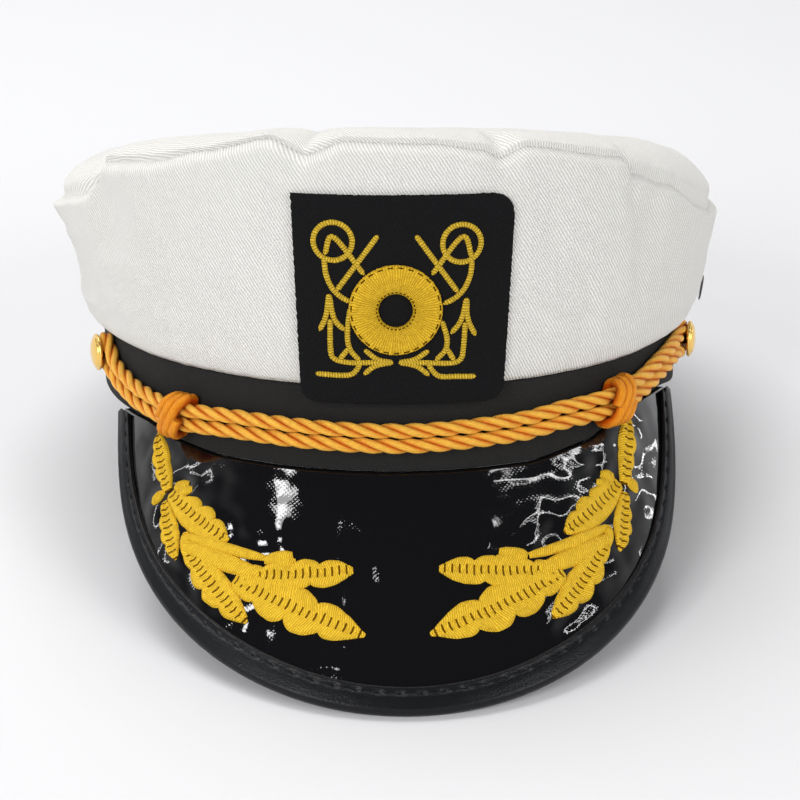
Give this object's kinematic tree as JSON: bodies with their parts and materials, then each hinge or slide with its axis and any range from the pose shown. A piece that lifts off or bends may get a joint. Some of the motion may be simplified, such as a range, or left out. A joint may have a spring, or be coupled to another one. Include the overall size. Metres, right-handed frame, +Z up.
{
  "type": "captain hat",
  "caption": "Peaked cap with a white twill crown, black band and glossy peak, twisted gold cord, square anchor patch and leaf embroidery.",
  "frame": {"origin": "on the floor under the middle of the whole hat", "axes": "-Y is the front with the peak, +X is the right of the hat in the picture, +Z is up; the hat rests tipped back on its peak and the back of its band"},
  "size_m": [0.2082, 0.2754, 0.1388],
  "materials": {
    "crown_cloth": "white cotton twill",
    "band_cloth": "matte black twill",
    "patent": "glossy black patent vinyl",
    "binding": "soft black leathercloth",
    "cord": "twisted golden cord",
    "cord_knot": "twisted golden cord",
    "button_brass": "polished",
    "eyelet_metal": "dark enamel",
    "patch_cloth": "black woven patch",
    "gold_thread": "satin stitched thread",
    "leaf_thread": "satin stitched thread"
  },
  "bodies": {
    "root": {"crown_side": "crown_cloth", "crown_top": "crown_cloth", "headband": "band_cloth", "visor": "patent", "visor_binding": "binding", "chin_cord": "cord", "slide_knot_left": "cord_knot", "slide_knot_right": "cord_knot", "side_button_left": "button_brass", "side_button_right": "button_brass", "vent_eyelet_left": "eyelet_metal", "vent_eyelet_right": "eyelet_metal", "emblem_patch": "patch_cloth", "emblem_ring": "gold_thread", "leaf_spray_left": "leaf_thread", "leaf_spray_right": "leaf_thread"}
  },
  "joints": []
}
